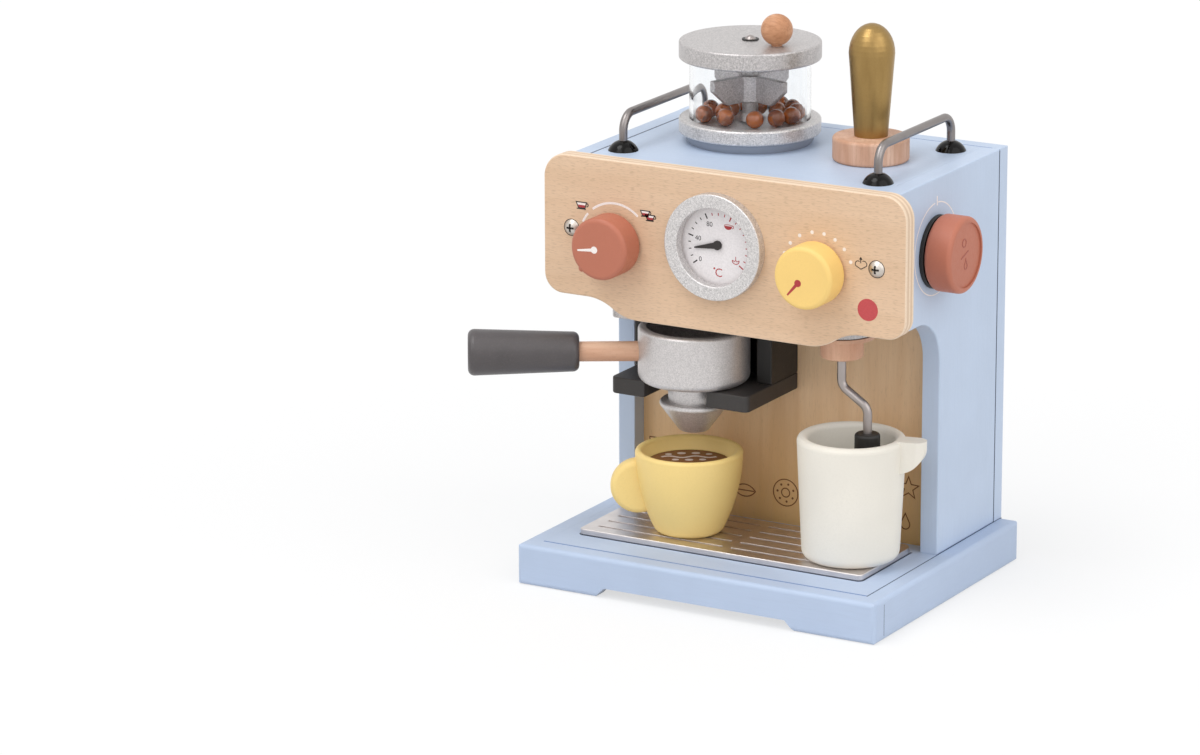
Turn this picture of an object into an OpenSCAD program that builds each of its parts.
// Toy coffee maker: a painted wooden espresso machine with its portafilter, tamper, cup and jug.
// Millimetres, +Z up, front towards -Y. The origin is the centre of the base's footprint on the floor.

/* [Boards] */
// Thickness of the painted boards of the base and body
board_t = 9; // [7:0.5:11]
// Radius of the softened outer edges of the base
edge_r = 2.4; // [0.8:0.2:3]

/* [Base] */
// Width of the base
base_w = 190; // [186:1:220]
// Depth of the base
base_d = 150; // [140:1:190]
// Height of the base
base_h = 20; // [16:1:30]
// Width of the finger notch under the front board
notch_w = 106; // [60:1:130]
// Height of the finger notch
notch_h = 5; // [2:0.5:7]

/* [Drip tray] */
// Thickness of the tray plate
tray_t = 3; // [2:0.5:4]
// Depth of the tray plate, front to back
tray_d = 54; // [50:1:56]
// Width of the tray plate
tray_w = 150.5; // [146:0.5:152]
// Shift of the tray to the left of the base's middle
tray_shift = 1.6; // [0:0.1:2]
// Radius of the tray's front corners
tray_front_r = 2.5; // [1:0.5:6]
// Radius of the tray's back corners
tray_back_r = 6; // [2:0.5:9]
// Number of grooves in each of the two columns
groove_count = 5; // [3:1:6]
// Spacing of the grooves
groove_pitch = 9.5; // [7:0.5:9.5]
// Width of a groove
groove_w = 1.6; // [1:0.2:2.4]
// Depth of a groove
groove_depth = 0.8; // [0.4:0.1:1.2]

/* [Body] */
// Height of the body above the base
body_h = 183; // [178:1:200]
// Depth of the body's lower part, front to back
lower_d = 69; // [66:1:80]
// How far the head overhangs the lower part
head_reach = 46; // [44:1:52]
// Clear height of the bay, from the base to the head
bay_h = 116; // [114:1:122]
// Radius of the inside corner where the head meets the lower part
bay_r = 22; // [12:1:26]
// Thickness of the plywood at the back of the bay
alcove_t = 6; // [4:0.5:8]
// How far the plywood lies behind the front edges of the side panels
alcove_setback = 9; // [7:0.5:11]

/* [Front panel] */
// Thickness of the plywood front panel
panel_t = 8; // [6:0.5:10]
// How far the front panel stands out beyond the body at each side
panel_side = 9; // [5:0.5:9]
// How far the front panel stands above the body
panel_rise = 1.4; // [0.5:0.1:4]
// Radius of the front panel's top corners
panel_top_r = 11.5; // [5:0.5:16]
// Radius of the front panel's bottom corners
panel_low_r = 9.5; // [4:0.5:14]
// Width of the deepest stretch of the front panel's lower edge
skirt_w = 90; // [60:1:110]
// Width of each S-shaped step beside that stretch
step_w = 27; // [18:1:32]
// Height of that step
step_h = 8.4; // [4:0.2:9]
// How far the front panel's corners end above the head's underside
shoulder_rise = 1.2; // [0:0.2:4]
// Height of the panel screws above the head's underside
screw_up = 33.7; // [26:0.1:44]
// Distance of the panel screws from the side panels' outer faces
screw_inset = 6; // [3:0.5:7]
// Diameter of a panel screw's head
screw_head_d = 7.7; // [5:0.1:8]
// Length of a panel screw behind the panel
screw_len = 20; // [10:1:30]

/* [Gauge] */
// Outer diameter of the gauge ring
gauge_d = 50.3; // [44:0.1:51]
// Diameter of the opening in the gauge ring
gauge_bore = 37; // [34:0.1:40]
// Thickness of the gauge ring
gauge_t = 5; // [5:0.5:9]
// Thickness of the dial disc
dial_t = 0.8; // [0.5:0.1:1.5]
// Depth of the dial's face below the panel's face
dial_recess = 1.3; // [0.5:0.1:2]
// Width of the dial's rim under the ring
dial_rim = 2; // [1:0.1:3]
// Sideways place of the gauge's centre
gauge_x = -2.7; // [-4:0.1:2]
// Height of the gauge's centre above the head's underside
gauge_up = 34.5; // [32:0.5:38]
// Length of the needle from its centre to its tip
needle_len = 12.2; // [8:0.2:13]
// Radius of the needle's hub
needle_hub_r = 2.2; // [1.8:0.1:3]
// Thickness of the needle
needle_t = 0.9; // [0.8:0.1:2]
// Radius of the needle's pin
pin_r = 1; // [0.7:0.1:1.4]
// Angle of the scale's zero, counted from +X towards +Z
zero_angle = 216; // [200:1:230]
// Angle that the whole scale covers
sweep_angle = 252; // [180:1:280]
// Share of the scale that the needle shows at rest
rest_share = 0.1; // [0:0.05:0.9]

/* [Knobs] */
// Diameter of the two knobs on the front
knob_d = 29.6; // [24:0.1:31]
// Thickness of the two knobs on the front
knob_t = 14.8; // [10:0.1:18]
// Rounding of a knob's edges
knob_soft = 2.2; // [1:0.1:4]
// Distance of the brew knob's centre from the front panel's left edge
brew_inset = 37.7; // [35:0.1:41]
// Height of the brew knob above the head's underside
brew_up = 29; // [26:0.5:34]
// Distance of the steam knob's centre from the front panel's right edge
steam_inset = 45.3; // [41:0.1:49]
// Height of the steam knob above the head's underside
steam_up = 28.8; // [26:0.1:34]
// Diameter of the side knob
side_knob_d = 36; // [28:0.5:40]
// Thickness of the side knob
side_knob_t = 13.6; // [10:0.1:18]
// Radius of the shallow recess in the side knob's face
side_recess_r = 15.2; // [8:0.1:16]
// Depth of that recess
side_recess = 0.8; // [0.3:0.1:1.5]
// Distance from the head's front to the side knob's axis
side_knob_setback = 39.7; // [30:0.1:60]
// Height of the side knob above the head's underside
side_knob_up = 32.3; // [28:0.1:38]
// Diameter of the washer under the side knob
side_washer_d = 34.5; // [24:0.1:40]
// Thickness of the washer under the side knob
side_washer_t = 2.1; // [1:0.1:4]
// Diameter of the knobs' axles
axle_d = 8; // [5:0.5:10]
// Depth of the axle's hole in a knob
socket_depth = 8; // [4:0.5:9]
// Diameter of the retainers on the axles
retainer_d = 14; // [12:0.5:18]
// Thickness of the retainers
retainer_t = 3; // [2:0.5:5]

/* [Brew group] */
// Sideways place of the brew group, which the cup shares
group_x = -30; // [-32:0.5:-28]
// Distance from the lower body's front to the axis of the recess and basket
group_reach = 26; // [25:0.5:28]
// Width of the brew group
group_w = 73.5; // [70:0.5:78]
// Distance from the head's front to the group's front
group_setback = 5; // [4:0.5:8]
// Thickness of the silver plate
plate_t = 11; // [8:0.5:12]
// Height of the black block
block_h = 29; // [28:0.5:32]
// Distance from the block's front face forward to the basket's axis
block_gap = 8.5; // [4:0.5:12]
// Radius of the round recess in the block
recess_r = 30; // [28:0.5:32]
// Thickness of the fork
fork_t = 8; // [6:0.5:9]
// Width of the fork's slot
slot_w = 33; // [28:0.1:34]
// Shift of the slot to the left of the basket's axis
slot_shift = 2; // [0:0.1:3]
// Radius of the rounded corners of the brew group
group_r = 3; // [1:0.5:5]

/* [Portafilter] */
// Diameter of the basket
basket_d = 53; // [48:0.5:55]
// Height of the basket
basket_h = 26.3; // [22:0.1:27]
// Thickness of the basket's wall and floor
basket_wall = 4; // [3:0.5:6]
// Diameter of the neck that passes through the fork
neck_d = 24.5; // [16:0.5:26]
// Gap between the fork's underside and the spout
spout_gap = 1.5; // [0.5:0.1:4]
// Diameter of the spout's wide end
spout_top_d = 32.6; // [28:0.1:36]
// Diameter of the spout's narrow end
spout_low_d = 13.7; // [8:0.1:18]
// Height of the spout's taper
spout_h = 15; // [10:0.5:16]
// Height of the handle's axis above the basket's underside
handle_up = 14; // [11:0.5:16]
// Direction of the handle, counted from +X towards +Y
handle_angle = 211; // [205:1:225]
// Diameter of the handle's dowel
dowel_d = 9.5; // [7:0.5:11]
// Distance from the basket's axis to the grip
grip_start = 54; // [45:1:65]
// Length of the grip
grip_len = 52.4; // [40:0.1:60]
// Diameter of the grip at the dowel's end
grip_d1 = 18.9; // [15:0.1:22]
// Diameter of the grip at its free end
grip_d2 = 22; // [18:0.1:25]

/* [Steam wand] */
// Distance from the side panel's inner face to the wand's axis
wand_from_side = 27; // [25:0.5:28]
// Distance from the head's front to the wand's axis
wand_setback = 16.5; // [16:0.5:18]
// Thickness of the spacer under the head
spacer_t = 5; // [3:0.5:7]
// Radius of the spacer
spacer_r = 15.5; // [12:0.5:15.5]
// Radius of the boss's flange
flange_r = 16; // [12:0.5:16]
// Thickness of the boss's flange
flange_t = 1.8; // [1:0.1:3]
// Diameter of the boss
boss_d = 20.2; // [15:0.1:24]
// Height of the boss under its flange
boss_h = 10; // [8:0.5:12]
// Diameter of the wand's rod
wand_d = 4.2; // [3:0.1:5]
// Distance from the head's underside down to the first bend
bend_1 = 31; // [26:0.5:33]
// Distance from the head's underside down to the second bend
bend_2 = 40; // [38:0.5:42]
// Sideways offset between the rod's two straight stretches
wand_offset = 13.7; // [8:0.1:14]
// Radius of the rod's bends
bend_r = 6; // [5:0.5:7]
// Distance from the head's underside down to the tip's upper end
tip_down = 52; // [48:0.5:56]
// Length of the tip
tip_len = 16; // [10:0.5:18]
// Diameter of the tip
tip_d = 12; // [8:0.5:12.5]

/* [Grinder] */
// Sideways place of the grinder's centre
grinder_x = -25; // [-30:0.5:-20]
// Distance from the head's front to the grinder's axis
grinder_setback = 65; // [56:0.5:70]
// Height of the plinth
plinth_h = 4.5; // [3:0.5:8]
// Diameter of the plinth at the top board
plinth_low_d = 59; // [45:0.1:60]
// Diameter of the plinth under the dish
plinth_top_d = 62; // [50:0.1:64]
// Diameter of the dish
dish_d = 67.3; // [62:0.1:74]
// Height of the dish
dish_h = 7; // [6:0.5:10]
// Depth of the dish's recess, which holds the hopper tube
dish_recess = 2; // [1.5:0.1:3]
// Outer diameter of the hopper tube
tube_d = 57.5; // [52:0.1:59]
// Wall of the hopper tube
tube_wall = 1.8; // [1.2:0.1:2.6]
// Length of the hopper tube
tube_h = 30; // [28:0.5:36]
// Diameter of the lid
lid_d = 67.4; // [60:0.1:74]
// Thickness of the lid
lid_t = 8.5; // [6:0.1:10]
// Diameter of the spindle
spindle_d = 7.6; // [6:0.1:9]
// Diameter of the pin at the spindle's foot
foot_pin_d = 4; // [2.5:0.1:5]
// Length of that pin
foot_pin_len = 3; // [2:0.1:3.5]
// Distance from the lid down to the top of the blades
blade_drop = 8.1; // [7:0.1:9]
// Height of a blade
blade_h = 12.5; // [10:0.1:12.5]
// Reach of a blade from the spindle's axis
blade_r = 24; // [18:0.1:24.5]
// Thickness of a blade
blade_t = 3; // [2:0.1:5]
// Number of blades
blade_count = 4; // [3:1:6]
// Width of the cut at a blade's lower corner
cut_w = 8.5; // [3:0.1:9]
// Height of the cut at a blade's lower corner
cut_h = 7.5; // [3:0.1:9]
// Angle of the first blade, counted from +X towards +Y
blade_angle = 71; // [0:1:90]
// Radius of the hub that carries the blades
blade_hub_r = 5.6; // [5.2:0.1:8]
// Diameter of the ball knob on the lid
ball_d = 15; // [10:0.5:18]
// Distance of the ball knob from the lid's centre
ball_r = 17.9; // [12:0.1:22]
// Angle of the ball knob, counted from +X towards +Y
ball_angle = -18; // [-180:1:180]
// Diameter of the washer under the lid's screw
lid_washer_d = 8; // [6:0.1:10]
// Diameter of a loose bead
bead_d = 8.4; // [6:0.1:8.6]
// Gap between the outermost beads and the hopper
bead_gap = 0.75; // [0.3:0.05:2]

/* [Tamper] */
// Sideways place of the tamper
tamper_x = 42.8; // [38:0.1:46]
// Distance from the head's front to the tamper's axis
tamper_setback = 57.8; // [45:0.1:70]
// Diameter of the tamper's base
tamper_d = 36; // [28:0.5:40]
// Height of the tamper's base
tamper_h = 11.5; // [8:0.5:16]
// Diameter of the tamper's handle at its foot
handle_low_d = 15.7; // [10:0.1:18]
// Largest diameter of the tamper's handle
handle_top_d = 21.6; // [16:0.1:26]
// Height of the tamper's handle
handle_h = 53.1; // [40:0.1:60]
// Height of the dome that ends the handle
handle_dome = 14; // [8:0.5:18]

/* [Cup rails] */
// Distance from the side panel's inner face to the rail
rail_inset = 10; // [9:0.5:14]
// Distance from the head's front to the rail's front leg
rail_setback = 18; // [14:0.5:30]
// Length of a rail between its feet's centres
rail_len = 74.5; // [60:0.5:80]
// Height of a rail's centreline above the top board
rail_h = 17; // [14:0.5:24]
// Diameter of a rail
rail_d = 4; // [3:0.1:5]
// Radius of a rail's bends
rail_r = 8; // [5:0.5:9]
// Diameter of a rail's foot
foot_d = 14.5; // [10:0.5:16]
// Height of a rail's foot
foot_h = 5; // [3:0.5:6]
// Depth of a rail's hole in the top board
rail_hole = 6; // [3:0.5:6.5]

/* [Cup] */
// How far the cup stands in front of the basket's axis
cup_forward = 4.7; // [3:0.1:5]
// Height of the cup
cup_h = 40.3; // [36:0.1:41]
// Radius of the cup's rim
cup_r = 25.6; // [22:0.1:26]
// Radius of the cup's curved side in section
cup_curve = 86; // [75:1:120]
// Thickness of the cup's wall at the rim
cup_rim = 3.4; // [2:0.1:4]
// Thickness of the cup's floor
cup_floor = 4; // [3:0.5:6]
// Height of the ledge that carries the coffee disc
ledge_up = 31; // [28:0.5:33]
// Thickness of the coffee disc
coffee_t = 3; // [2:0.1:3.5]
// Radius of the coffee disc
coffee_r = 19.7; // [18:0.1:20]
// Radius of the cup's ear
ear_r = 13.2; // [10:0.1:14]
// Thickness of the cup's ear
ear_t = 8.5; // [6:0.1:11]
// Distance of the ear's tip from the cup's axis
ear_reach = 37.2; // [33:0.1:39]
// Height of the ear's middle
ear_up = 22.4; // [20:0.1:24]
// Direction of the ear, counted from +X towards +Y
ear_angle = 210; // [190:1:230]

/* [Milk jug] */
// Distance from the wand's axis to the jug's axis, to the right
jug_right = 5.8; // [4.5:0.1:7]
// Distance from the wand's axis to the jug's axis, to the front
jug_forward = 0.6; // [0:0.1:1.5]
// Height of the jug
jug_h = 59; // [52:0.5:61]
// Diameter of the jug's rim
jug_top_d = 51.2; // [49:0.1:53]
// Diameter of the jug's side where it would meet its underside
jug_low_d = 45.6; // [43:0.1:49]
// Thickness of the jug's wall
jug_wall = 5.2; // [2.5:0.1:5.4]
// Radius of the jug's rounded foot
jug_foot_r = 4.5; // [2:0.5:6]
// Distance of the spout's tip from the jug's axis
beak_reach = 35.9; // [30:0.1:38]
// Radius of the beak's round underside
beak_round = 13.4; // [8:0.1:16]
// Height from the underside's centre to the rim
beak_rise = 2; // [0.5:0.1:5]
// Thickness of the spout
beak_t = 10; // [6:0.5:14]
// Direction of the spout, counted from +X towards +Y
beak_angle = 12; // [-20:1:40]

/* [Fits] */
// Radial clearance of a turning shaft
run_fit = 0.08; // [0.03:0.01:0.1]
// Radial clearance of a glued or pressed peg
glue_fit = 0.03; // [0.01:0.01:0.08]
// Gap between two faces that turn past each other
face_gap = 0.4; // [0.3:0.05:0.6]

/* [Hidden] */
$fn = 72;
over = 1;

// Heights
deck_z = base_h;
tray_z = deck_z + tray_t;
head_z = deck_z + bay_h;
body_z = deck_z + body_h;

// Depths
back_y = base_d / 2;
base_front_y = -base_d / 2;
lower_y = back_y - lower_d;
head_y = lower_y - head_reach;
panel_y = head_y - panel_t;
alcove_y = lower_y + alcove_setback;
inner_back_y = back_y - board_t;
tray_y = lower_y - tray_d;
tray_x = -tray_shift;

// Half widths
half_base = base_w / 2;
half_body = half_base - board_t;
half_inner = half_body - board_t;
half_panel = half_body + panel_side;

// Places of the group's pieces
group_y = lower_y - group_reach;
group_front = head_y + group_setback;
slot_x = group_x - slot_shift;
plate_z = head_z - plate_t;
block_z = plate_z - block_h;
fork_z = block_z - fork_t;
basket_z = block_z;
handle_z = basket_z + handle_up;
neck_len = fork_t + spout_gap;
grip_bite = 22;
cup_y = group_y - cup_forward;

// Places of the knobs and the gauge
gauge_z = head_z + gauge_up;
brew_x = brew_inset - half_panel;
brew_z = head_z + brew_up;
steam_x = half_panel - steam_inset;
steam_z = head_z + steam_up;
side_z = head_z + side_knob_up;
axle_r = axle_d / 2;
hole_r = axle_r + run_fit;
knob_y = panel_y - face_gap;
dial_y = panel_y + dial_recess;
dial_back_y = dial_y + dial_t;
dial_r = gauge_bore / 2 + dial_rim;
needle_y = dial_y - face_gap;
needle_rest = zero_angle - rest_share * sweep_angle;
pin_len = 4;
side_face_x = half_body + side_washer_t + face_gap;
side_knob_y = head_y + side_knob_setback;

// Places of the wand's pieces
wand_x = half_inner - wand_from_side;
wand_y = head_y + wand_setback;
wand_r = wand_d / 2;
spacer_z = head_z - spacer_t;
flange_z = spacer_z - face_gap - flange_t;
boss_z = flange_z - boss_h;
tip_z = head_z - tip_down - tip_len;
head_top_z = head_z + board_t;

// Places of the grinder's pieces
grinder_y = head_y + grinder_setback;
dish_z = body_z + plinth_h;
dish_floor_z = dish_z + dish_h - dish_recess;
lid_z = dish_floor_z + tube_h + face_gap;
lid_top_z = lid_z + lid_t;
blade_top_z = lid_z - blade_drop;
blade_z = blade_top_z - blade_h;
spindle_z = dish_floor_z + face_gap;
spindle_r = spindle_d / 2;
tube_r = tube_d / 2;
bead_reach = tube_r - tube_wall - bead_d / 2 - bead_gap;
screw_r = 1.5;
peg_r = 2.5;
peg_depth = 6;

// Places of the tamper, the rails and the jug
tamper_y = head_y + tamper_setback;
rail_x = half_inner - rail_inset;
rail_front = head_y + rail_setback;
jug_x = wand_x + jug_right;
jug_y = wand_y - jug_forward;

// Jug's side in section: its growth in radius with height
jug_slope = (jug_top_d - jug_low_d) / 2 / jug_h;

// ---------------------------------------------------------------- shared shapes

// Points of an arc from angle a0 to angle a1
function arc(centre, r, a0, a1, steps = 8) =
    [for (i = [0:steps]) centre + r * [cos(a0 + (a1 - a0) * i / steps), sin(a0 + (a1 - a0) * i / steps)]];

// Flat rectangle from corner p with four corners of radius r
module soft_square(p, size, r) {
    translate([p.x + r, p.y]) square([size.x - 2 * r, size.y]);
    translate([p.x, p.y + r]) square([size.x, size.y - 2 * r]);
    for (x = [p.x + r, p.x + size.x - r], y = [p.y + r, p.y + size.y - r]) {
        translate([x, y]) circle(r);
    }
}

// Solid disc turned about Z, with both edges softened
module soft_disc(d, h, r) {
    rotate_extrude() {
        intersection() {
            soft_square([-d / 2, 0], [d, h], r);
            square([d, h]);
        }
    }
}

// Plate from an outline in X and Z, its front face at y and its thickness towards +Y
module front_plate(y, t) {
    translate([0, y + t, 0]) rotate([90, 0, 0]) linear_extrude(t) children();
}

// Plate from an outline in Y and Z, its left face at x and its thickness towards +X
module side_plate(x, t) {
    translate([x, 0, 0]) rotate([90, 0, 90]) linear_extrude(t) children();
}

// Solid that points from the place p towards -Y, made along +Z
module facing_front(p) {
    translate(p) rotate([90, 0, 0]) children();
}

// Solid that points from the place p towards +X, made along +Z
module facing_right(p) {
    translate(p) rotate([0, 90, 0]) children();
}

// ---------------------------------------------------------------- base

// Outline of the base seen from above, with softened upright edges
module base_plan() {
    soft_square([-half_base, base_front_y], [base_w, base_d], edge_r);
}

// Outline of the base seen from the front, softened along its edges
module base_front_view() {
    soft_square([-half_base, 0], [base_w, base_h], edge_r);
}

// Outline of the base seen from the side, softened along its edges
module base_side_view() {
    soft_square([base_front_y, 0], [base_d, base_h], edge_r);
}

// The whole block that the base boards are parts of
module base_block() {
    intersection() {
        linear_extrude(base_h) base_plan();
        front_plate(base_front_y, base_d) base_front_view();
        side_plate(-half_base, base_w) base_side_view();
    }
}

module base_front_board() {
    color("lightsteelblue") difference() {
        intersection() {
            base_block();
            translate([-half_base, base_front_y, 0]) cube([base_w, board_t, base_h]);
        }
        front_plate(base_front_y - over, board_t + 2 * over) {
            polygon([
                [-notch_w / 2 - over, -over],
                [notch_w / 2 + over, -over],
                [notch_w / 2 - notch_h, notch_h],
                [-notch_w / 2 + notch_h, notch_h]
            ]);
        }
    }
}

// Side board of the base, from x = left to the right by one board
module base_side_board(left) {
    color("lightsteelblue") intersection() {
        base_block();
        translate([left, base_front_y + board_t, 0]) cube([board_t, base_d - board_t, base_h]);
    }
}

module base_left_board() {
    base_side_board(-half_base);
}

module base_right_board() {
    base_side_board(half_body);
}

module base_back_board() {
    color("lightsteelblue") translate([-half_body, inner_back_y, 0]) cube([2 * half_body, board_t, base_h]);
}

module base_deck() {
    color("lightsteelblue") translate([-half_body, base_front_y + board_t, base_h - board_t]) {
        cube([2 * half_body, base_d - 2 * board_t, board_t]);
    }
}

// Grooves in two columns: their length leaves a margin at the tray's sides and a land in the middle
module tray_grooves() {
    margin = 6.4;
    land = 4.6;
    groove_len = tray_w / 2 - margin - land / 2;
    middle_y = tray_y + tray_d / 2;
    for (side = [-1, 1], i = [0:groove_count - 1]) {
        y = middle_y + (i - (groove_count - 1) / 2) * groove_pitch;
        x = side < 0 ? tray_x - land / 2 - groove_len : tray_x + land / 2;
        translate([x, y - groove_w / 2, tray_z - groove_depth]) cube([groove_len, groove_w, groove_depth + over]);
    }
}

module drip_tray() {
    color("silver") difference() {
        translate([0, 0, deck_z]) linear_extrude(tray_t) {
            soft_square([tray_x - tray_w / 2, tray_y], [tray_w, tray_d / 2 + tray_front_r], tray_front_r);
            translate([tray_x - tray_w / 2, lower_y - tray_d / 2 - tray_back_r]) {
                soft_square([0, 0], [tray_w, tray_d / 2 + tray_back_r], tray_back_r);
            }
        }
        tray_grooves();
    }
}

// ---------------------------------------------------------------- body

// Places children on a panel screw's axis, pointing to the front, at the depth y
module at_screw(side, y) {
    facing_front([side * (half_body - screw_inset), y, head_z + screw_up]) children();
}

// Side panel in section: the full height less the bay, whose inside corner is round
module side_outline() {
    difference() {
        translate([head_y, deck_z]) square([inner_back_y - head_y, body_h]);
        translate([head_y - over, deck_z - over]) square([head_reach + over, bay_h + over - bay_r]);
        translate([head_y - over, deck_z - over]) square([head_reach + over - bay_r, bay_h + over]);
        translate([lower_y - bay_r, head_z - bay_r]) circle(bay_r);
    }
}

// Side panel on one side, with the hole for its panel screw
module side_panel(side) {
    left = side < 0 ? -half_body : half_inner;
    difference() {
        side_plate(left, board_t) side_outline();
        at_screw(side, head_y + screw_len) cylinder(h = screw_len + over, r = screw_r + glue_fit);
    }
}

module side_panel_left() {
    color("lightsteelblue") side_panel(-1);
}

module side_panel_right() {
    color("lightsteelblue") difference() {
        side_panel(1);
        facing_right([half_inner - over, side_knob_y, side_z]) cylinder(h = board_t + 2 * over, r = hole_r);
    }
}

module back_panel() {
    color("lightsteelblue") translate([-half_body, inner_back_y, deck_z]) cube([2 * half_body, board_t, body_h]);
}

module top_board() {
    color("lightsteelblue") difference() {
        translate([-half_inner, head_y, body_z - board_t]) {
            cube([2 * half_inner, inner_back_y - head_y, board_t]);
        }
        for (x = [-rail_x, rail_x], y = [rail_front, rail_front + rail_len]) {
            translate([x, y, body_z - rail_hole]) cylinder(h = rail_hole + over, r = rail_d / 2 + glue_fit);
        }
    }
}

module head_floor() {
    color("lightsteelblue") difference() {
        translate([-half_inner, head_y, head_z]) cube([2 * half_inner, inner_back_y - head_y, board_t]);
        translate([wand_x, wand_y, head_z - over]) cylinder(h = board_t + 2 * over, r = wand_r + run_fit);
    }
}

module alcove_panel() {
    color("burlywood") translate([-half_inner, alcove_y, deck_z]) cube([2 * half_inner, alcove_t, bay_h]);
}

// Front panel's outline: a block with round corners over a skirt with S-shaped ends
module panel_outline() {
    shoulder_z = head_z + shoulder_rise;
    skirt_z = shoulder_z - step_h;
    top_z = body_z + panel_rise;
    half_skirt = skirt_w / 2;
    step_r = (step_w * step_w + step_h * step_h) / 4 / step_h;
    difference() {
        union() {
            soft_square([-half_panel, shoulder_z], [2 * half_panel, top_z - shoulder_z - panel_top_r], panel_low_r);
            translate([-half_panel, shoulder_z + panel_low_r]) {
                soft_square([0, 0], [2 * half_panel, top_z - shoulder_z - panel_low_r], panel_top_r);
            }
            translate([-half_skirt, skirt_z]) square([skirt_w, 2 * step_r]);
            for (side = [-1, 1]) {
                translate([side * half_skirt, skirt_z + step_r]) circle(step_r);
                translate([side * half_skirt - (side < 0 ? step_w : 0), skirt_z + step_h / 2]) {
                    square([step_w, step_h]);
                }
            }
        }
        for (side = [-1, 1]) {
            translate([side * (half_skirt + step_w), shoulder_z - step_r]) circle(step_r);
        }
    }
}

module front_panel() {
    color("burlywood") difference() {
        front_plate(panel_y, panel_t) panel_outline();
        for (p = [[brew_x, brew_z], [steam_x, steam_z]]) {
            facing_front([p.x, head_y + over, p.y]) cylinder(h = panel_t + 2 * over, r = hole_r);
        }
        facing_front([gauge_x, dial_back_y, gauge_z]) cylinder(h = dial_t + dial_recess + over, r = dial_r + glue_fit);
        facing_front([gauge_x, dial_back_y + pin_len, gauge_z]) cylinder(h = pin_len + over, r = pin_r + run_fit);
        for (side = [-1, 1]) {
            at_screw(side, head_y + over) cylinder(h = panel_t + 2 * over, r = screw_r + glue_fit);
        }
    }
}

// Pan-head screw along +Z from its tip at -length, with a cross recess
module pan_screw(length) {
    head_r = screw_head_d / 2;
    head_h = screw_head_d * 0.26;
    slot_half = head_h / 4;
    dome_r = (head_r * head_r + head_h * head_h) / 2 / head_h;
    difference() {
        union() {
            translate([0, 0, -length]) cylinder(h = length + head_h / 2, r = screw_r);
            intersection() {
                translate([0, 0, head_h - dome_r]) sphere(dome_r);
                cylinder(h = head_h, r = head_r);
            }
        }
        for (a = [0, 90]) {
            rotate([0, 0, a]) translate([-head_r / 2, -slot_half, head_h / 3]) {
                cube([head_r, 2 * slot_half, head_h]);
            }
        }
    }
}

module panel_screws() {
    color("silver") for (side = [-1, 1]) {
        at_screw(side, panel_y) pan_screw(panel_t + screw_len - face_gap);
    }
}

// ---------------------------------------------------------------- gauge

module gauge_ring() {
    wall = (gauge_d - gauge_bore) / 2;
    color("silver") facing_front([gauge_x, panel_y, gauge_z]) rotate_extrude() {
        soft_square([gauge_bore / 2, 0], [wall, gauge_t], 0.6);
        translate([gauge_bore / 2, 0]) square([wall, gauge_t / 2]);
    }
}

module gauge_dial() {
    color("whitesmoke") facing_front([gauge_x, dial_back_y, gauge_z]) difference() {
        cylinder(h = dial_t, r = dial_r);
        translate([0, 0, -over]) cylinder(h = dial_t + 2 * over, r = pin_r + run_fit);
    }
}

module gauge_needle() {
    tip_r = 0.3;
    color("dimgray") facing_front([gauge_x, needle_y, gauge_z]) difference() {
        union() {
            cylinder(h = needle_t, r = needle_hub_r);
            rotate([0, 0, needle_rest]) linear_extrude(needle_t * 0.8) {
                polygon([
                    [0, -needle_hub_r * 0.75],
                    [needle_len, -tip_r],
                    [needle_len, tip_r],
                    [0, needle_hub_r * 0.75]
                ]);
            }
        }
        translate([0, 0, -over]) cylinder(h = over + needle_t / 2, r = pin_r + glue_fit);
    }
}

module gauge_pin() {
    color("silver") facing_front([gauge_x, dial_back_y + pin_len - face_gap, gauge_z]) {
        cylinder(h = pin_len + dial_t + needle_t / 2, r = pin_r);
    }
}

// ---------------------------------------------------------------- knobs

// Turned knob along +Z with a blind hole for its axle in its underside
module turned_knob(d, t) {
    difference() {
        soft_disc(d, t, knob_soft);
        translate([0, 0, -over]) cylinder(h = socket_depth + over, r = axle_r + glue_fit);
    }
}

// Axle along +Z, from its inner end to the bottom of the knob's hole
module knob_axle(wall) {
    inner = face_gap + retainer_t;
    translate([0, 0, -wall - inner]) cylinder(h = inner + wall + face_gap + socket_depth, r = axle_r);
}

// Ring on the axle's inner end that keeps the knob on its wall
module axle_retainer(wall) {
    translate([0, 0, -wall - face_gap - retainer_t]) difference() {
        soft_disc(retainer_d, retainer_t, 0.5);
        translate([0, 0, -over]) cylinder(h = retainer_t + 2 * over, r = axle_r + glue_fit);
    }
}

module brew_knob() {
    color("indianred") facing_front([brew_x, knob_y, brew_z]) turned_knob(knob_d, knob_t);
}

module brew_axle() {
    color("tan") facing_front([brew_x, panel_y, brew_z]) knob_axle(panel_t);
}

module brew_retainer() {
    color("dimgray") facing_front([brew_x, panel_y, brew_z]) axle_retainer(panel_t);
}

module steam_knob() {
    color("khaki") facing_front([steam_x, knob_y, steam_z]) turned_knob(knob_d, knob_t);
}

module steam_axle() {
    color("tan") facing_front([steam_x, panel_y, steam_z]) knob_axle(panel_t);
}

module steam_retainer() {
    color("dimgray") facing_front([steam_x, panel_y, steam_z]) axle_retainer(panel_t);
}

module side_knob() {
    color("indianred") facing_right([side_face_x, side_knob_y, side_z]) difference() {
        turned_knob(side_knob_d, side_knob_t);
        translate([0, 0, side_knob_t - side_recess]) cylinder(h = side_recess + over, r = side_recess_r);
    }
}

module side_axle() {
    color("tan") facing_right([half_body + side_washer_t, side_knob_y, side_z]) knob_axle(board_t + side_washer_t);
}

module side_retainer() {
    color("dimgray") facing_right([half_body, side_knob_y, side_z]) axle_retainer(board_t);
}

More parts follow.
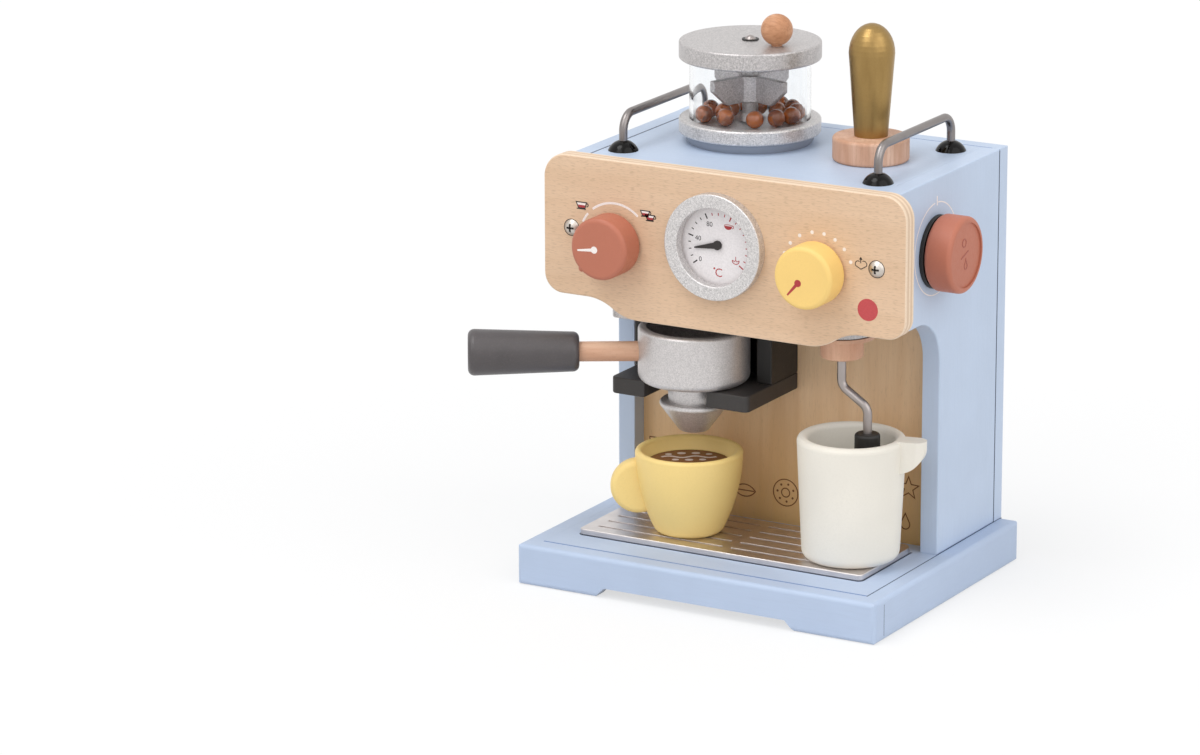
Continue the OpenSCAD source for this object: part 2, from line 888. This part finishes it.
module side_knob_washer() {
    color("dimgray") facing_right([half_body, side_knob_y, side_z]) difference() {
        soft_disc(side_washer_d, side_washer_t, 0.4);
        translate([0, 0, -over]) cylinder(h = side_washer_t + 2 * over, r = hole_r);
    }
}

// ---------------------------------------------------------------- brew group

// Outline of the whole group seen from above, from its front face back to the alcove panel
module group_plan(front) {
    left = group_x - group_w / 2;
    intersection() {
        soft_square([left, front], [group_w, alcove_y - front + 2 * group_r], group_r);
        translate([left, front]) square([group_w, alcove_y - front]);
    }
}

module group_plate() {
    color("silver") translate([0, 0, plate_z]) linear_extrude(plate_t) group_plan(group_front);
}

module group_block() {
    color("dimgray") translate([0, 0, block_z]) linear_extrude(block_h) difference() {
        left = group_x - group_w / 2;
        front = group_y + block_gap;
        translate([left, front]) square([group_w, alcove_y - front]);
        translate([group_x, group_y]) circle(recess_r);
    }
}

// Slot of the fork: a round end and straight sides, open to the front
module fork_slot() {
    translate([slot_x, group_y]) circle(slot_w / 2);
    translate([slot_x - slot_w / 2, group_front - over]) square([slot_w, group_y - group_front + over]);
}

module group_fork() {
    color("dimgray") translate([0, 0, fork_z]) linear_extrude(fork_t) difference() {
        group_plan(group_front);
        fork_slot();
    }
}

// ---------------------------------------------------------------- portafilter

// Places children with +Z along the handle, z = 0 at the basket's axis
module along_handle() {
    translate([group_x, group_y, handle_z]) rotate([0, 0, handle_angle]) rotate([0, 90, 0]) children();
}

// Basket's outer form: well rounded at the foot and softened at the rim
module basket_form() {
    foot_r = 4;
    rim_r = 1.6;
    outer_r = basket_d / 2;
    rotate_extrude() {
        polygon(concat(
            [[0, 0]],
            arc([outer_r - foot_r, foot_r], foot_r, -90, 0),
            arc([outer_r - rim_r, basket_h - rim_r], rim_r, 0, 90, 6),
            [[0, basket_h]]
        ));
    }
}

module portafilter_basket() {
    outer_r = basket_d / 2;
    color("silver") difference() {
        translate([group_x, group_y, basket_z]) difference() {
            basket_form();
            translate([0, 0, basket_wall]) cylinder(h = basket_h, r = outer_r - basket_wall);
        }
        along_handle() {
            translate([0, 0, outer_r - basket_wall - over]) {
                cylinder(h = basket_wall + 2 * over, r = dowel_d / 2 + glue_fit);
            }
        }
    }
}

// Cone under the fork with a rounded rim, and the neck that joins it to the basket
module portafilter_spout() {
    rim_r = 1.6;
    foot_r = 2;
    top_r = spout_top_d / 2;
    low_r = spout_low_d / 2;
    taper = atan((top_r - low_r) / (spout_h - rim_r));
    rim = [top_r - rim_r, -neck_len - rim_r];
    foot = [low_r - foot_r * tan(45 - taper / 2), foot_r - neck_len - spout_h];
    color("silver") translate([group_x, group_y, basket_z]) rotate_extrude() {
        polygon(concat(
            [[0, -neck_len - spout_h]],
            arc(foot, foot_r, -90, -taper, 4),
            arc(rim, rim_r, -taper, 90, 6),
            [[neck_d / 2, -neck_len], [neck_d / 2, 0], [0, 0]]
        ));
    }
}

module portafilter_dowel() {
    start = basket_d / 2 - basket_wall + 0.5;
    color("burlywood") along_handle() {
        translate([0, 0, start]) cylinder(h = grip_start + grip_bite - start, r = dowel_d / 2);
    }
}

// Grip turned about its axis: a slight taper with rounded ends, and the dowel's hole
module portafilter_grip() {
    end_r = 3;
    r1 = grip_d1 / 2;
    r2 = grip_d2 / 2;
    color("dimgray") along_handle() translate([0, 0, grip_start]) difference() {
        rotate_extrude() {
            polygon(concat(
                [[0, 0]],
                arc([r1 - end_r, end_r], end_r, -90, 0, 6),
                arc([r2 - end_r, grip_len - end_r], end_r, 0, 90, 6),
                [[0, grip_len]]
            ));
        }
        translate([0, 0, -over]) cylinder(h = grip_bite + over, r = dowel_d / 2 + glue_fit);
    }
}

// ---------------------------------------------------------------- steam wand

module wand_spacer() {
    color("silver") translate([wand_x, wand_y, spacer_z]) difference() {
        cylinder(h = spacer_t, r = spacer_r);
        translate([0, 0, -over]) cylinder(h = spacer_t + 2 * over, r = wand_r + run_fit);
    }
}

module wand_boss() {
    color("burlywood") translate([wand_x, wand_y, 0]) difference() {
        union() {
            translate([0, 0, flange_z]) cylinder(h = flange_t, r = flange_r);
            translate([0, 0, boss_z]) soft_disc(boss_d, boss_h + flange_t, 1.2);
        }
        translate([0, 0, boss_z - over]) cylinder(h = boss_h + flange_t + 2 * over, r = wand_r + glue_fit);
    }
}

// One bend of the rod in the XZ plane about the centre c, from angle a0 through sweep
module rod_bend(c, a0, sweep) {
    translate([c.x, 0, c.y]) rotate([90, 0, 0]) rotate([0, 0, a0]) rotate_extrude(angle = sweep) {
        translate([bend_r, 0]) circle(wand_r);
    }
}

// Rod with an S-bend that sets its lower stretch off to the side.
// The slanting stretch is a hair slimmer than the bends and laps into both of them.
module wand_rod() {
    lap = 0.2;
    slim = 0.02;
    lean = atan(wand_offset / (bend_2 - bend_1));
    cut = bend_r * tan(lean / 2);
    slant = norm([wand_offset, bend_2 - bend_1]) - 2 * cut;
    top = head_top_z + face_gap + retainer_t;
    high = head_z - bend_1 + cut;
    low = head_z - bend_2 - cut;
    color("silver") translate([wand_x, wand_y, 0]) {
        translate([0, 0, high]) cylinder(h = top - high, r = wand_r);
        rod_bend([bend_r, high], 180, lean);
        translate([0, 0, head_z - bend_1]) rotate([0, 180 - lean, 0]) {
            translate([0, 0, cut - lap]) cylinder(h = slant + 2 * lap, r = wand_r - slim);
        }
        rod_bend([wand_offset - bend_r, low], 0, lean);
        translate([wand_offset, 0, tip_z + tip_len / 2]) cylinder(h = low - tip_z - tip_len / 2, r = wand_r);
    }
}

module wand_tip() {
    color("dimgray") translate([wand_x + wand_offset, wand_y, tip_z]) difference() {
        soft_disc(tip_d, tip_len, 1.5);
        translate([0, 0, tip_len / 2]) cylinder(h = tip_len, r = wand_r + glue_fit);
    }
}

module wand_retainer() {
    color("dimgray") translate([wand_x, wand_y, head_top_z + face_gap]) difference() {
        soft_disc(retainer_d, retainer_t, 0.5);
        translate([0, 0, -over]) cylinder(h = retainer_t + 2 * over, r = wand_r + glue_fit);
    }
}

// ---------------------------------------------------------------- grinder

// Places children on the grinder's axis at height z
module on_grinder(z) {
    translate([grinder_x, grinder_y, z]) children();
}

// Plinth with a bulging side that leans outwards
module grinder_plinth() {
    bulge_r = 12;
    low_r = plinth_low_d / 2;
    top_r = plinth_top_d / 2;
    chord = norm([top_r - low_r, plinth_h]);
    lean = atan((top_r - low_r) / plinth_h);
    half_turn = asin(chord / 2 / bulge_r);
    middle = [(low_r + top_r) / 2, plinth_h / 2] - bulge_r * cos(half_turn) * [cos(lean), -sin(lean)];
    color("lightslategray") on_grinder(body_z) rotate_extrude() {
        polygon(concat(
            [[0, 0]],
            arc(middle, bulge_r, -lean - half_turn, -lean + half_turn),
            [[0, plinth_h]]
        ));
    }
}

module grinder_dish() {
    color("silver") on_grinder(dish_z) difference() {
        soft_disc(dish_d, dish_h, 1);
        translate([0, 0, dish_h - dish_recess]) cylinder(h = dish_recess + over, r = tube_r + glue_fit);
        translate([0, 0, dish_h - dish_recess - foot_pin_len]) {
            cylinder(h = foot_pin_len + over, r = foot_pin_d / 2 + run_fit);
        }
    }
}

module hopper_tube() {
    color("aliceblue", 0.4) on_grinder(dish_floor_z) difference() {
        cylinder(h = tube_h, r = tube_r);
        translate([0, 0, -over]) cylinder(h = tube_h + 2 * over, r = tube_r - tube_wall);
    }
}

module grinder_lid() {
    color("silver") on_grinder(lid_z) difference() {
        soft_disc(lid_d, lid_t, 1);
        translate([0, 0, -over]) cylinder(h = lid_t + 2 * over, r = screw_r + glue_fit);
        rotate([0, 0, ball_angle]) translate([ball_r, 0, lid_t - peg_depth]) {
            cylinder(h = peg_depth + over, r = peg_r + glue_fit);
        }
    }
}

// Ball with its peg, seated on the lid
module grinder_ball() {
    color("burlywood") on_grinder(lid_top_z) rotate([0, 0, ball_angle]) translate([ball_r, 0, 0]) {
        translate([0, 0, ball_d / 2]) sphere(ball_d / 2);
        translate([0, 0, -peg_depth]) cylinder(h = peg_depth + ball_d / 2, r = peg_r);
    }
}

// Spindle that widens at its foot, over the pin that turns in the dish
module grinder_spindle() {
    foot_cone_h = 3.5;
    foot_r = spindle_r + 1.8;
    color("silver") on_grinder(spindle_z) difference() {
        union() {
            cylinder(h = lid_z - spindle_z, r = spindle_r);
            cylinder(h = foot_cone_h, r1 = foot_r, r2 = spindle_r);
            translate([0, 0, -foot_pin_len]) cylinder(h = foot_pin_len + over, r = foot_pin_d / 2);
        }
        translate([0, 0, lid_z - spindle_z - lid_t]) cylinder(h = lid_t + over, r = screw_r + glue_fit);
    }
}

// Blades seen from above: a hub with a bore and straight arms
module blade_plan() {
    difference() {
        union() {
            circle(blade_hub_r);
            for (i = [0:blade_count - 1]) {
                rotate(blade_angle + i * 360 / blade_count) {
                    translate([0, -blade_t / 2]) square([blade_r + over, blade_t]);
                }
            }
        }
        circle(spindle_r + glue_fit);
    }
}

// Sweep of the blades in section: their ends and the cut below them
module blade_sweep() {
    rotate_extrude() {
        polygon([
            [0, -over],
            [blade_r - cut_w - over * cut_w / cut_h, -over],
            [blade_r, cut_h],
            [blade_r, blade_h + over],
            [0, blade_h + over]
        ]);
    }
}

module grinder_blades() {
    color("silver") on_grinder(blade_z) intersection() {
        linear_extrude(blade_h) blade_plan();
        blade_sweep();
    }
}

module grinder_screw_washer() {
    color("dimgray") on_grinder(lid_top_z) difference() {
        cylinder(h = 0.6, r = lid_washer_d / 2);
        translate([0, 0, -over]) cylinder(h = 2 * over + 0.6, r = screw_r + glue_fit);
    }
}

// Dome-head screw through the lid into the spindle
module grinder_screw() {
    head_r = 2.6;
    head_h = 1.6;
    dome_r = (head_r * head_r + head_h * head_h) / 2 / head_h;
    color("silver") on_grinder(lid_top_z + 0.6) {
        intersection() {
            translate([0, 0, head_h - dome_r]) sphere(dome_r);
            cylinder(h = head_h, r = head_r);
        }
        translate([0, 0, -lid_t - 0.6 - lid_t + over]) cylinder(h = 2 * lid_t + 0.6 - over / 2, r = screw_r);
    }
}

// Beads lie loose on the dish's floor, each at an angle and a share of the way from the spindle to the hopper
module bean_beads() {
    places = [
        [-54, 0.75], [-105, 0.75455], [-19, 0.8227], [-140, 0.99545], [6, 0.95], [-173, 0.9136], [29, 1],
        [52, 1], [76, 0.9909], [40, 0.6], [-150, 0.5682], [162, 0.5773], [100, 0.5909], [130, 0.99545]
    ];
    color("sienna") for (p = places) {
        on_grinder(dish_floor_z + bead_d / 2) translate(p[1] * bead_reach * [cos(p[0]), sin(p[0])]) {
            sphere(bead_d / 2);
        }
    }
}

// ---------------------------------------------------------------- tamper

module tamper_base() {
    color("burlywood") translate([tamper_x, tamper_y, body_z]) soft_disc(tamper_d, tamper_h, 1.5);
}

// Handle that widens upwards and ends in a dome
module tamper_handle() {
    top_r = handle_top_d / 2;
    dome_z = handle_h - handle_dome;
    dome = [for (a = [0:10:90]) [top_r * cos(a), dome_z + handle_dome * sin(a)]];
    color("darkgoldenrod") translate([tamper_x, tamper_y, body_z + tamper_h]) rotate_extrude() {
        polygon(concat([[0, 0], [handle_low_d / 2, 0]], dome));
    }
}

// ---------------------------------------------------------------- cup rails

// Rail in the plane x: two legs, two bends and the bar between them
module cup_rail(x) {
    y1 = rail_front;
    y2 = rail_front + rail_len;
    r = rail_d / 2;
    bar_z = body_z + rail_h;
    leg_z = body_z - rail_hole;
    color("slategray") translate([x, 0, 0]) {
        for (y = [y1, y2]) {
            translate([0, y, leg_z]) cylinder(h = bar_z - rail_r - leg_z, r = r);
        }
        translate([0, y1 + rail_r, bar_z]) rotate([-90, 0, 0]) cylinder(h = rail_len - 2 * rail_r, r = r);
        translate([0, y1 + rail_r, bar_z - rail_r]) rotate([90, 0, 90]) rotate([0, 0, 90]) {
            rotate_extrude(angle = 90) translate([rail_r, 0]) circle(r);
        }
        translate([0, y2 - rail_r, bar_z - rail_r]) rotate([90, 0, 90]) {
            rotate_extrude(angle = 90) translate([rail_r, 0]) circle(r);
        }
    }
}

module rail_left() {
    cup_rail(-rail_x);
}

module rail_right() {
    cup_rail(rail_x);
}

// Domed feet round the rails' legs
module rail_feet() {
    base_r = foot_d / 2;
    dome_r = (base_r * base_r + foot_h * foot_h) / 2 / foot_h;
    color("dimgray") for (x = [-rail_x, rail_x], y = [rail_front, rail_front + rail_len]) {
        translate([x, y, body_z]) difference() {
            intersection() {
                translate([0, 0, foot_h - dome_r]) sphere(dome_r);
                cylinder(h = foot_h, r = base_r);
            }
            translate([0, 0, -over]) cylinder(h = foot_h + 2 * over, r = rail_d / 2 + glue_fit);
        }
    }
}

// ---------------------------------------------------------------- cup

// Cup's outer side in section: an arc from the rim down to a rounded foot
module cup_side() {
    foot_r = 4;
    side_centre = [cup_r - cup_curve, cup_h];
    foot_x = side_centre.x + sqrt(pow(cup_curve - foot_r, 2) - pow(cup_h - foot_r, 2));
    foot_a = atan2(foot_r - side_centre.y, foot_x - side_centre.x);
    intersection() {
        translate(side_centre) circle(cup_curve, $fn = 240);
        square([cup_r + over, cup_h]);
        union() {
            square([foot_x, cup_h]);
            translate([foot_x, foot_r]) circle(foot_r);
            polygon([
                [foot_x, foot_r],
                [foot_x + 4 * foot_r * cos(foot_a), foot_r + 4 * foot_r * sin(foot_a)],
                [foot_x + 4 * foot_r, cup_h],
                [foot_x, cup_h]
            ]);
        }
    }
}

// Cup's hollow in section: a mouth above the ledge and a narrower well below it
module cup_hollow() {
    mouth_r = coffee_r + 0.3;
    well_r = coffee_r - 2.7;
    well_low_r = 11.5;
    well_low_h = 12;
    lip_z = cup_h - cup_rim / 2;
    polygon([
        [0, cup_floor],
        [well_low_r, cup_floor],
        [well_r, cup_floor + well_low_h],
        [well_r, ledge_up],
        [mouth_r, ledge_up],
        [mouth_r, ledge_up + coffee_t],
        [cup_r - cup_rim, lip_z],
        [cup_r - cup_rim, cup_h + over],
        [0, cup_h + over]
    ]);
}

// Cup's solid round the hollow in section, less its ear: the lip ends in a full round
module cup_section() {
    lip_r = cup_rim / 2;
    difference() {
        intersection() {
            cup_side();
            square([cup_r + over, cup_h - lip_r]);
        }
        cup_hollow();
    }
    translate([cup_r - lip_r, cup_h - lip_r]) circle(lip_r);
}

module coffee_cup() {
    color("khaki") translate([group_x, cup_y, tray_z]) difference() {
        union() {
            rotate_extrude() cup_section();
            rotate([0, 0, ear_angle]) translate([ear_reach - ear_r, ear_t / 2, ear_up]) rotate([90, 0, 0]) {
                soft_disc(2 * ear_r, ear_t, 3);
            }
        }
        rotate_extrude() cup_hollow();
    }
}

module coffee_disc() {
    color("peru") translate([group_x, cup_y, tray_z + ledge_up]) soft_disc(2 * coffee_r, coffee_t, 0.6);
}

// ---------------------------------------------------------------- milk jug

// Centre of a rounding of radius r at height h, set in from the jug's side by inset
function jug_corner(h, inset, r) =
    [jug_low_d / 2 + jug_slope * h - (inset + r) / cos(atan(jug_slope)), h];

// Jug's wall and floor in section, with a rounded foot and a rounded rim
module jug_section() {
    lean = atan(jug_slope);
    rim_r = jug_wall / 2;
    inner_r = jug_foot_r * 0.7;
    polygon(concat(
        [[0, 0]],
        arc(jug_corner(jug_foot_r, 0, jug_foot_r), jug_foot_r, -90, -lean),
        arc(jug_corner(jug_h - rim_r, 0, rim_r), rim_r, -lean, 180 - lean),
        arc(jug_corner(jug_wall + inner_r, jug_wall, inner_r), inner_r, -lean, -90, 4),
        [[0, jug_wall]]
    ));
}

// Beak under the rim: flat on top, with a round underside and a nose that is round from above
module beak() {
    middle = [beak_reach - beak_round, jug_h - beak_rise];
    top_angle = asin(beak_rise / beak_round);
    root_x = jug_corner(jug_h - beak_rise - beak_round, 0, jug_wall / 2).x;
    rotate([0, 0, beak_angle]) intersection() {
        front_plate(-beak_t / 2, beak_t) {
            polygon(concat(
                [[root_x, jug_h], [root_x, jug_h - beak_rise - beak_round]],
                arc(middle, beak_round, -90, top_angle, 12)
            ));
        }
        linear_extrude(jug_h + over) {
            translate([0, -beak_t / 2]) square([beak_reach - beak_t / 2, beak_t]);
            translate([beak_reach - beak_t / 2, 0]) circle(beak_t / 2);
        }
    }
}

module milk_jug() {
    color("ivory") translate([jug_x, jug_y, tray_z]) {
        rotate_extrude() jug_section();
        beak();
    }
}

base_front_board();
base_left_board();
base_right_board();
base_back_board();
base_deck();
drip_tray();
side_panel_left();
side_panel_right();
back_panel();
top_board();
head_floor();
alcove_panel();
front_panel();
panel_screws();
gauge_ring();
gauge_dial();
gauge_needle();
gauge_pin();
brew_knob();
brew_axle();
brew_retainer();
steam_knob();
steam_axle();
steam_retainer();
side_knob();
side_axle();
side_retainer();
side_knob_washer();
group_plate();
group_block();
group_fork();
portafilter_basket();
portafilter_spout();
portafilter_dowel();
portafilter_grip();
wand_spacer();
wand_boss();
wand_rod();
wand_tip();
wand_retainer();
grinder_plinth();
grinder_dish();
hopper_tube();
grinder_lid();
grinder_ball();
grinder_spindle();
grinder_blades();
grinder_screw();
grinder_screw_washer();
bean_beads();
tamper_base();
tamper_handle();
rail_left();
rail_right();
rail_feet();
coffee_cup();
coffee_disc();
milk_jug();
